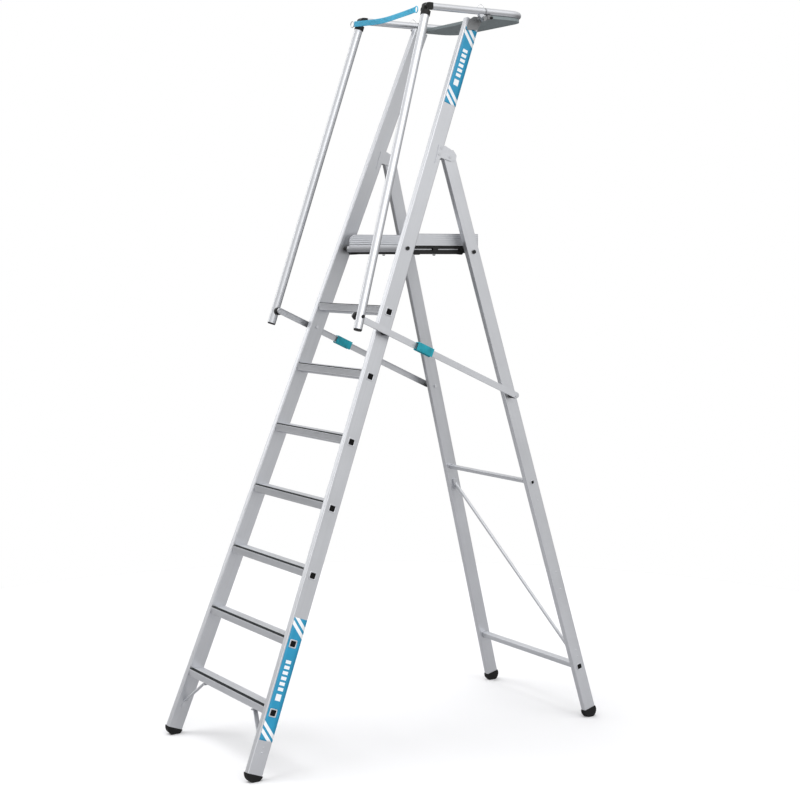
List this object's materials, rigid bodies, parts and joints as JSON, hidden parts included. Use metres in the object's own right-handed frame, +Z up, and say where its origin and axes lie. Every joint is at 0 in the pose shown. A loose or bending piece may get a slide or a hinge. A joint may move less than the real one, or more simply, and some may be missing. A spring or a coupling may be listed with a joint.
{
  "type": "platform step ladder",
  "caption": "Folding A-frame step ladder with a hinged railed platform, hand rails, side arms, rear tool tray, folding link bars and a safety strap.",
  "frame": {"origin": "centre of the bounding box, on the floor", "axes": "+Z up; the climber stands at -Y and faces +Y; +X to the climber's right"},
  "size_m": [0.7104, 1.5878, 2.8085],
  "materials": {
    "aluminium": "mill finish",
    "black_plastic": "moulded",
    "dark_metal": "satin",
    "teal_plastic": "moulded",
    "webbing": "woven",
    "chrome": "polished"
  },
  "bodies": {
    "front_frame": {"stile_R": "aluminium", "stile_L": "aluminium", "tread_1": "aluminium", "tread_2": "aluminium", "tread_3": "aluminium", "tread_4": "aluminium", "tread_5": "aluminium", "tread_6": "aluminium", "tread_7": "aluminium", "tread_brace_R": "aluminium", "tread_brace_L": "aluminium", "foot_front_R": "black_plastic", "foot_front_L": "black_plastic", "gusset_R": "aluminium", "gusset_L": "aluminium", "front_pivot_R": "black_plastic", "front_pivot_L": "black_plastic", "top_bracket_R": "dark_metal", "top_bracket_L": "dark_metal", "platform_bolt_R": "black_plastic", "platform_bolt_L": "black_plastic", "rear_rail": "aluminium", "tool_tray": "aluminium"},
    "rear_frame": {"leg_R": "aluminium", "leg_L": "aluminium", "crossbar_upper": "aluminium", "crossbar_lower": "aluminium", "rear_diagonal": "aluminium", "foot_rear_R": "black_plastic", "foot_rear_L": "black_plastic", "rest_pin_R": "black_plastic", "rest_pin_L": "black_plastic", "rear_pivot_R": "black_plastic", "rear_pivot_L": "black_plastic"},
    "platform": {"deck": "aluminium", "end_frame_R": "black_plastic", "end_frame_L": "black_plastic", "kick_board_R": "aluminium", "kick_board_L": "aluminium", "kick_board_rear": "aluminium"},
    "front_bar_R": {"front_bar_R": "aluminium", "lock_sleeve_R": "teal_plastic"},
    "rear_bar_R": {"rear_bar_R": "aluminium"},
    "side_arm_R": {"side_arm_R": "aluminium", "arm_fork_R": "black_plastic"},
    "hand_rail_R": {"hand_rail_R": "aluminium", "rail_cap_R": "black_plastic", "rail_pivot_R": "black_plastic", "rail_knuckle_R": "black_plastic"},
    "front_bar_L": {"front_bar_L": "aluminium", "lock_sleeve_L": "teal_plastic"},
    "rear_bar_L": {"rear_bar_L": "aluminium"},
    "side_arm_L": {"side_arm_L": "aluminium", "arm_fork_L": "black_plastic"},
    "hand_rail_L": {"hand_rail_L": "aluminium", "rail_cap_L": "black_plastic", "rail_pivot_L": "black_plastic", "rail_knuckle_L": "black_plastic", "strap_ring": "chrome", "safety_strap": "webbing"}
  },
  "joints": [
    {"name": "rear_frame_fold", "type": "hinge", "parent": "front_frame", "child": "rear_frame", "pos_m": [0, 0.1533, 2.24], "axis": [-1, 0, 0], "range_deg": [0, 32]},
    {"name": "platform_fold", "type": "hinge", "parent": "front_frame", "child": "platform", "pos_m": [0, -0.05033, 1.894], "axis": [1, 0, 0], "range_deg": [0, 64]},
    {"name": "front_bar_swing_R", "type": "hinge", "parent": "front_frame", "child": "front_bar_R", "pos_m": [0.26213, -0.16847, 1.584], "axis": [1, 0, 0], "range_deg": [0, 88.62]},
    {"name": "knee_R", "type": "hinge", "parent": "front_bar_R", "child": "rear_bar_R", "pos_m": [0.26685, 0.01086, 1.50262], "axis": [-1, 0, 0], "range_deg": [0, 158.83]},
    {"name": "side_arm_swing_R", "type": "hinge", "parent": "front_frame", "child": "side_arm_R", "pos_m": [0.236, 0.2977, 2.768], "axis": [1, 0, 0], "range_deg": [0, 47.06]},
    {"name": "hand_rail_swing_R", "type": "hinge", "parent": "side_arm_R", "child": "hand_rail_R", "pos_m": [0.236, 0.0397, 2.795], "axis": [-1, 0, 0], "range_deg": [0, 46.55]},
    {"name": "front_bar_swing_L", "type": "hinge", "parent": "front_frame", "child": "front_bar_L", "pos_m": [-0.26213, -0.16847, 1.584], "axis": [1, 0, 0], "range_deg": [0, 88.62]},
    {"name": "knee_L", "type": "hinge", "parent": "front_bar_L", "child": "rear_bar_L", "pos_m": [-0.26685, 0.01086, 1.50262], "axis": [-1, 0, 0], "range_deg": [0, 158.83]},
    {"name": "side_arm_swing_L", "type": "hinge", "parent": "front_frame", "child": "side_arm_L", "pos_m": [-0.236, 0.2977, 2.768], "axis": [1, 0, 0], "range_deg": [0, 47.06]},
    {"name": "hand_rail_swing_L", "type": "hinge", "parent": "side_arm_L", "child": "hand_rail_L", "pos_m": [-0.236, 0.0397, 2.795], "axis": [-1, 0, 0], "range_deg": [0, 46.55]}
  ],
  "couplings": [
    {"joint": "platform_fold", "follows": "rear_frame_fold", "ratio": 2},
    {"joint": "front_bar_swing_R", "follows": "rear_frame_fold", "ratio": 2.7693},
    {"joint": "knee_R", "follows": "rear_frame_fold", "ratio": 4.9633},
    {"joint": "side_arm_swing_R", "follows": "rear_frame_fold", "ratio": 1.4703},
    {"joint": "hand_rail_swing_R", "follows": "rear_frame_fold", "ratio": 1.4546},
    {"joint": "front_bar_swing_L", "follows": "rear_frame_fold", "ratio": 2.7693},
    {"joint": "knee_L", "follows": "rear_frame_fold", "ratio": 4.9633},
    {"joint": "side_arm_swing_L", "follows": "rear_frame_fold", "ratio": 1.4703},
    {"joint": "hand_rail_swing_L", "follows": "rear_frame_fold", "ratio": 1.4546}
  ]
}
